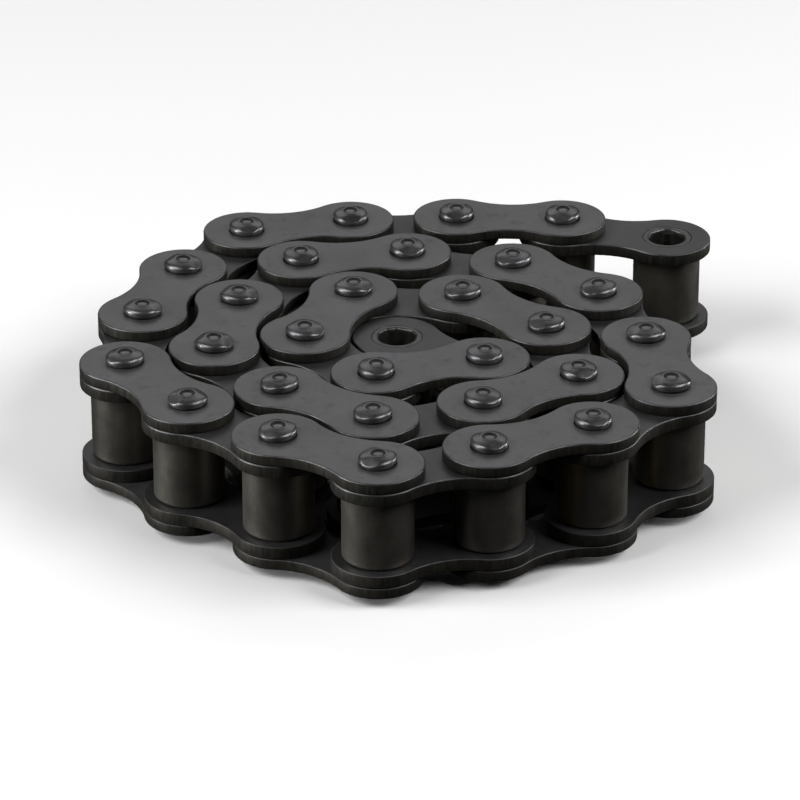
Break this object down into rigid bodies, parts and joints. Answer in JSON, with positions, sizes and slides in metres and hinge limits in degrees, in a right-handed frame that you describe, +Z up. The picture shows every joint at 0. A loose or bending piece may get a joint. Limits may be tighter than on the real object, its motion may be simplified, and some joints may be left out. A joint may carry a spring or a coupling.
{
  "type": "roller chain",
  "caption": "Length of single-strand roller chain coiled flat on its side, with waisted plates, riveted pins, bushes and loose rollers, and an open bush at each end.",
  "frame": {"origin": "on the surface that the chain lies on, under the middle of the coil's outline", "axes": "+Z up along the pins; the outermost link points 12 degrees to the back of -X, and the coil turns anticlockwise inwards, seen from above"},
  "size_m": [0.146, 0.1478, 0.0331],
  "materials": {
    "outer_link": "dark oiled steel, satin, with rounded edges worn bright",
    "inner_link": "dark oiled steel, satin, with sheared edges a little brown",
    "roller": "dark oiled steel, satin, brown round the ends"
  },
  "bodies": {
    "inner_link_01": {"inner_link_01": "inner_link"},
    "outer_link_01": {"outer_link_01": "outer_link"},
    "inner_link_02": {"inner_link_02": "inner_link"},
    "outer_link_02": {"outer_link_02": "outer_link"},
    "inner_link_03": {"inner_link_03": "inner_link"},
    "outer_link_03": {"outer_link_03": "outer_link"},
    "inner_link_04": {"inner_link_04": "inner_link"},
    "outer_link_04": {"outer_link_04": "outer_link"},
    "inner_link_05": {"inner_link_05": "inner_link"},
    "outer_link_05": {"outer_link_05": "outer_link"},
    "inner_link_06": {"inner_link_06": "inner_link"},
    "outer_link_06": {"outer_link_06": "outer_link"},
    "inner_link_07": {"inner_link_07": "inner_link"},
    "outer_link_07": {"outer_link_07": "outer_link"},
    "inner_link_08": {"inner_link_08": "inner_link"},
    "outer_link_08": {"outer_link_08": "outer_link"},
    "inner_link_09": {"inner_link_09": "inner_link"},
    "outer_link_09": {"outer_link_09": "outer_link"},
    "inner_link_10": {"inner_link_10": "inner_link"},
    "outer_link_10": {"outer_link_10": "outer_link"},
    "inner_link_11": {"inner_link_11": "inner_link"},
    "outer_link_11": {"outer_link_11": "outer_link"},
    "inner_link_12": {"inner_link_12": "inner_link"},
    "outer_link_12": {"outer_link_12": "outer_link"},
    "inner_link_13": {"inner_link_13": "inner_link"},
    "outer_link_13": {"outer_link_13": "outer_link"},
    "inner_link_14": {"inner_link_14": "inner_link"},
    "outer_link_14": {"outer_link_14": "outer_link"},
    "inner_link_15": {"inner_link_15": "inner_link"},
    "outer_link_15": {"outer_link_15": "outer_link"},
    "inner_link_16": {"inner_link_16": "inner_link"},
    "roller_01": {"roller_01": "roller"},
    "roller_02": {"roller_02": "roller"},
    "roller_03": {"roller_03": "roller"},
    "roller_04": {"roller_04": "roller"},
    "roller_05": {"roller_05": "roller"},
    "roller_06": {"roller_06": "roller"},
    "roller_07": {"roller_07": "roller"},
    "roller_08": {"roller_08": "roller"},
    "roller_09": {"roller_09": "roller"},
    "roller_10": {"roller_10": "roller"},
    "roller_11": {"roller_11": "roller"},
    "roller_12": {"roller_12": "roller"},
    "roller_13": {"roller_13": "roller"},
    "roller_14": {"roller_14": "roller"},
    "roller_15": {"roller_15": "roller"},
    "roller_16": {"roller_16": "roller"},
    "roller_17": {"roller_17": "roller"},
    "roller_18": {"roller_18": "roller"},
    "roller_19": {"roller_19": "roller"},
    "roller_20": {"roller_20": "roller"},
    "roller_21": {"roller_21": "roller"},
    "roller_22": {"roller_22": "roller"},
    "roller_23": {"roller_23": "roller"},
    "roller_24": {"roller_24": "roller"},
    "roller_25": {"roller_25": "roller"},
    "roller_26": {"roller_26": "roller"},
    "roller_27": {"roller_27": "roller"},
    "roller_28": {"roller_28": "roller"},
    "roller_29": {"roller_29": "roller"}
  },
  "joints": [
    {"name": "hinge_01", "type": "hinge", "parent": "inner_link_01", "child": "outer_link_01", "pos_m": [0.03783, 0.0627, 0.01656], "axis": [0, 0, -1], "range_deg": [-10, 60]},
    {"name": "hinge_02", "type": "hinge", "parent": "outer_link_01", "child": "inner_link_02", "pos_m": [0.01244, 0.06358, 0.01656], "axis": [0, 0, -1], "range_deg": [0, 60]},
    {"name": "hinge_03", "type": "hinge", "parent": "inner_link_02", "child": "outer_link_02", "pos_m": [-0.0129, 0.06181, 0.01656], "axis": [0, 0, -1], "range_deg": [0, 60]},
    {"name": "hinge_04", "type": "hinge", "parent": "outer_link_02", "child": "inner_link_03", "pos_m": [-0.03754, 0.05567, 0.01656], "axis": [0, 0, -1], "range_deg": [0, 60]},
    {"name": "hinge_05", "type": "hinge", "parent": "inner_link_03", "child": "outer_link_03", "pos_m": [-0.05175, 0.03461, 0.01656], "axis": [0, 0, -1], "range_deg": [0, 15]},
    {"name": "hinge_06", "type": "hinge", "parent": "outer_link_03", "child": "inner_link_04", "pos_m": [-0.06002, 0.01059, 0.01656], "axis": [0, 0, -1], "range_deg": [0, 15]},
    {"name": "hinge_07", "type": "hinge", "parent": "inner_link_04", "child": "outer_link_04", "pos_m": [-0.06267, -0.01467, 0.01656], "axis": [0, 0, -1], "range_deg": [0, 62.2]},
    {"name": "hinge_08", "type": "hinge", "parent": "outer_link_04", "child": "inner_link_05", "pos_m": [-0.04774, -0.03522, 0.01656], "axis": [0, 0, -1], "range_deg": [0, 15]},
    {"name": "hinge_09", "type": "hinge", "parent": "inner_link_05", "child": "outer_link_05", "pos_m": [-0.02746, -0.0505, 0.01656], "axis": [0, 0, -1], "range_deg": [0, 15]},
    {"name": "hinge_10", "type": "hinge", "parent": "outer_link_05", "child": "inner_link_06", "pos_m": [-0.00568, -0.06358, 0.01656], "axis": [0, 0, -1], "range_deg": [0, 41.8]},
    {"name": "hinge_11", "type": "hinge", "parent": "inner_link_06", "child": "outer_link_06", "pos_m": [0.01847, -0.05573, 0.01656], "axis": [0, 0, -1], "range_deg": [0, 0.3]},
    {"name": "hinge_12", "type": "hinge", "parent": "outer_link_06", "child": "inner_link_07", "pos_m": [0.0413, -0.0446, 0.01656], "axis": [0, 0, -1], "range_deg": [0, 0.3]},
    {"name": "hinge_13", "type": "hinge", "parent": "inner_link_07", "child": "outer_link_07", "pos_m": [0.05926, -0.02664, 0.01656], "axis": [0, 0, -1], "range_deg": [0, 42.9]},
    {"name": "hinge_14", "type": "hinge", "parent": "outer_link_07", "child": "inner_link_08", "pos_m": [0.05485, -0.00163, 0.01656], "axis": [0, 0, -1], "range_deg": [0, 0.3]},
    {"name": "hinge_15", "type": "hinge", "parent": "inner_link_08", "child": "outer_link_08", "pos_m": [0.04493, 0.02176, 0.01656], "axis": [0, 0, -1], "range_deg": [0, 0.3]},
    {"name": "hinge_16", "type": "hinge", "parent": "outer_link_08", "child": "inner_link_09", "pos_m": [0.02547, 0.03808, 0.01656], "axis": [0, 0, -1], "range_deg": [0, 26.4]},
    {"name": "hinge_17", "type": "hinge", "parent": "inner_link_09", "child": "outer_link_09", "pos_m": [0.00072, 0.0438, 0.01656], "axis": [0, 0, -1], "range_deg": [0, 0.3]},
    {"name": "hinge_18", "type": "hinge", "parent": "outer_link_09", "child": "inner_link_10", "pos_m": [-0.02429, 0.03939, 0.01656], "axis": [0, 0, -1], "range_deg": [0, 0.3]},
    {"name": "hinge_19", "type": "hinge", "parent": "inner_link_10", "child": "outer_link_10", "pos_m": [-0.03813, 0.01808, 0.01656], "axis": [0, 0, -1], "range_deg": [0, 25.5]},
    {"name": "hinge_20", "type": "hinge", "parent": "outer_link_10", "child": "inner_link_11", "pos_m": [-0.04297, -0.00685, 0.01656], "axis": [0, 0, -1], "range_deg": [0, 0.3]},
    {"name": "hinge_21", "type": "hinge", "parent": "inner_link_11", "child": "outer_link_11", "pos_m": [-0.02769, -0.02714, 0.01656], "axis": [0, 0, -1], "range_deg": [0, 0.3]},
    {"name": "hinge_22", "type": "hinge", "parent": "outer_link_11", "child": "inner_link_12", "pos_m": [-0.00688, -0.0417, 0.01656], "axis": [0, 0, -1], "range_deg": [0, 10.6]},
    {"name": "hinge_23", "type": "hinge", "parent": "inner_link_12", "child": "outer_link_12", "pos_m": [0.01741, -0.03428, 0.01656], "axis": [0, 0, -1], "range_deg": [0, 0.3]},
    {"name": "hinge_24", "type": "hinge", "parent": "outer_link_12", "child": "inner_link_13", "pos_m": [0.03895, -0.02082, 0.01656], "axis": [0, 0, -1], "range_deg": [0, 0.3]},
    {"name": "hinge_25", "type": "hinge", "parent": "inner_link_13", "child": "outer_link_13", "pos_m": [0.03238, 0.00372, 0.01656], "axis": [0, 0, -1], "range_deg": [0, 8.7]},
    {"name": "hinge_26", "type": "hinge", "parent": "outer_link_13", "child": "inner_link_14", "pos_m": [0.0135, 0.02071, 0.01656], "axis": [0, 0, -1], "range_deg": [0, 0.3]},
    {"name": "hinge_27", "type": "hinge", "parent": "inner_link_14", "child": "outer_link_14", "pos_m": [-0.01184, 0.02248, 0.01656], "axis": [0, 0, -1], "range_deg": [0, 0.3]},
    {"name": "hinge_28", "type": "hinge", "parent": "outer_link_14", "child": "inner_link_15", "pos_m": [-0.02257, -0.00054, 0.01656], "axis": [0, 0, -1], "range_deg": [0, 5.1]},
    {"name": "hinge_29", "type": "hinge", "parent": "inner_link_15", "child": "outer_link_15", "pos_m": [-0.00625, -0.01999, 0.01656], "axis": [0, 0, -1], "range_deg": [0, 0.3]},
    {"name": "hinge_30", "type": "hinge", "parent": "outer_link_15", "child": "inner_link_16", "pos_m": [0.01804, -0.01257, 0.01656], "axis": [0, 0, -1], "range_deg": [0, 0.3]},
    {"name": "roller_spin_01", "type": "hinge", "parent": "inner_link_01", "child": "roller_01", "pos_m": [0.06267, 0.05742, 0.01656], "axis": [0, 0, 1], "continuous": true},
    {"name": "roller_spin_02", "type": "hinge", "parent": "inner_link_01", "child": "roller_02", "pos_m": [0.03783, 0.0627, 0.01656], "axis": [0, 0, 1], "continuous": true},
    {"name": "roller_spin_03", "type": "hinge", "parent": "inner_link_02", "child": "roller_03", "pos_m": [0.01244, 0.06358, 0.01656], "axis": [0, 0, 1], "continuous": true},
    {"name": "roller_spin_04", "type": "hinge", "parent": "inner_link_02", "child": "roller_04", "pos_m": [-0.0129, 0.06181, 0.01656], "axis": [0, 0, 1], "continuous": true},
    {"name": "roller_spin_05", "type": "hinge", "parent": "inner_link_03", "child": "roller_05", "pos_m": [-0.03754, 0.05567, 0.01656], "axis": [0, 0, 1], "continuous": true},
    {"name": "roller_spin_06", "type": "hinge", "parent": "inner_link_03", "child": "roller_06", "pos_m": [-0.05175, 0.03461, 0.01656], "axis": [0, 0, 1], "continuous": true},
    {"name": "roller_spin_07", "type": "hinge", "parent": "inner_link_04", "child": "roller_07", "pos_m": [-0.06002, 0.01059, 0.01656], "axis": [0, 0, 1], "continuous": true},
    {"name": "roller_spin_08", "type": "hinge", "parent": "inner_link_04", "child": "roller_08", "pos_m": [-0.06267, -0.01467, 0.01656], "axis": [0, 0, 1], "continuous": true},
    {"name": "roller_spin_09", "type": "hinge", "parent": "inner_link_05", "child": "roller_09", "pos_m": [-0.04774, -0.03522, 0.01656], "axis": [0, 0, 1], "continuous": true},
    {"name": "roller_spin_10", "type": "hinge", "parent": "inner_link_05", "child": "roller_10", "pos_m": [-0.02746, -0.0505, 0.01656], "axis": [0, 0, 1], "continuous": true},
    {"name": "roller_spin_11", "type": "hinge", "parent": "inner_link_06", "child": "roller_11", "pos_m": [-0.00568, -0.06358, 0.01656], "axis": [0, 0, 1], "continuous": true},
    {"name": "roller_spin_12", "type": "hinge", "parent": "inner_link_06", "child": "roller_12", "pos_m": [0.01847, -0.05573, 0.01656], "axis": [0, 0, 1], "continuous": true},
    {"name": "roller_spin_13", "type": "hinge", "parent": "inner_link_07", "child": "roller_13", "pos_m": [0.0413, -0.0446, 0.01656], "axis": [0, 0, 1], "continuous": true},
    {"name": "roller_spin_14", "type": "hinge", "parent": "inner_link_07", "child": "roller_14", "pos_m": [0.05926, -0.02664, 0.01656], "axis": [0, 0, 1], "continuous": true},
    {"name": "roller_spin_15", "type": "hinge", "parent": "inner_link_08", "child": "roller_15", "pos_m": [0.05485, -0.00163, 0.01656], "axis": [0, 0, 1], "continuous": true},
    {"name": "roller_spin_16", "type": "hinge", "parent": "inner_link_08", "child": "roller_16", "pos_m": [0.04493, 0.02176, 0.01656], "axis": [0, 0, 1], "continuous": true},
    {"name": "roller_spin_17", "type": "hinge", "parent": "inner_link_09", "child": "roller_17", "pos_m": [0.02547, 0.03808, 0.01656], "axis": [0, 0, 1], "continuous": true},
    {"name": "roller_spin_18", "type": "hinge", "parent": "inner_link_09", "child": "roller_18", "pos_m": [0.00072, 0.0438, 0.01656], "axis": [0, 0, 1], "continuous": true},
    {"name": "roller_spin_19", "type": "hinge", "parent": "inner_link_10", "child": "roller_19", "pos_m": [-0.02429, 0.03939, 0.01656], "axis": [0, 0, 1], "continuous": true},
    {"name": "roller_spin_20", "type": "hinge", "parent": "inner_link_10", "child": "roller_20", "pos_m": [-0.03813, 0.01808, 0.01656], "axis": [0, 0, 1], "continuous": true},
    {"name": "roller_spin_21", "type": "hinge", "parent": "inner_link_11", "child": "roller_21", "pos_m": [-0.04297, -0.00685, 0.01656], "axis": [0, 0, 1], "continuous": true},
    {"name": "roller_spin_22", "type": "hinge", "parent": "inner_link_11", "child": "roller_22", "pos_m": [-0.02769, -0.02714, 0.01656], "axis": [0, 0, 1], "continuous": true},
    {"name": "roller_spin_23", "type": "hinge", "parent": "inner_link_12", "child": "roller_23", "pos_m": [-0.00688, -0.0417, 0.01656], "axis": [0, 0, 1], "continuous": true},
    {"name": "roller_spin_24", "type": "hinge", "parent": "inner_link_12", "child": "roller_24", "pos_m": [0.01741, -0.03428, 0.01656], "axis": [0, 0, 1], "continuous": true},
    {"name": "roller_spin_25", "type": "hinge", "parent": "inner_link_13", "child": "roller_25", "pos_m": [0.03895, -0.02082, 0.01656], "axis": [0, 0, 1], "continuous": true},
    {"name": "roller_spin_26", "type": "hinge", "parent": "inner_link_13", "child": "roller_26", "pos_m": [0.03238, 0.00372, 0.01656], "axis": [0, 0, 1], "continuous": true},
    {"name": "roller_spin_27", "type": "hinge", "parent": "inner_link_14", "child": "roller_27", "pos_m": [0.0135, 0.02071, 0.01656], "axis": [0, 0, 1], "continuous": true},
    {"name": "roller_spin_28", "type": "hinge", "parent": "inner_link_14", "child": "roller_28", "pos_m": [-0.01184, 0.02248, 0.01656], "axis": [0, 0, 1], "continuous": true},
    {"name": "roller_spin_29", "type": "hinge", "parent": "inner_link_15", "child": "roller_29", "pos_m": [-0.02257, -0.00054, 0.01656], "axis": [0, 0, 1], "continuous": true}
  ],
  "couplings": [
    {"joint": "hinge_07", "follows": "hinge_04", "ratio": 1.014},
    {"joint": "hinge_10", "follows": "hinge_04", "ratio": 0.681},
    {"joint": "hinge_13", "follows": "hinge_04", "ratio": 0.698},
    {"joint": "hinge_16", "follows": "hinge_04", "ratio": 0.429},
    {"joint": "hinge_19", "follows": "hinge_04", "ratio": 0.415},
    {"joint": "hinge_22", "follows": "hinge_04", "ratio": 0.171},
    {"joint": "hinge_25", "follows": "hinge_04", "ratio": 0.14},
    {"joint": "hinge_28", "follows": "hinge_04", "ratio": 0.081}
  ]
}
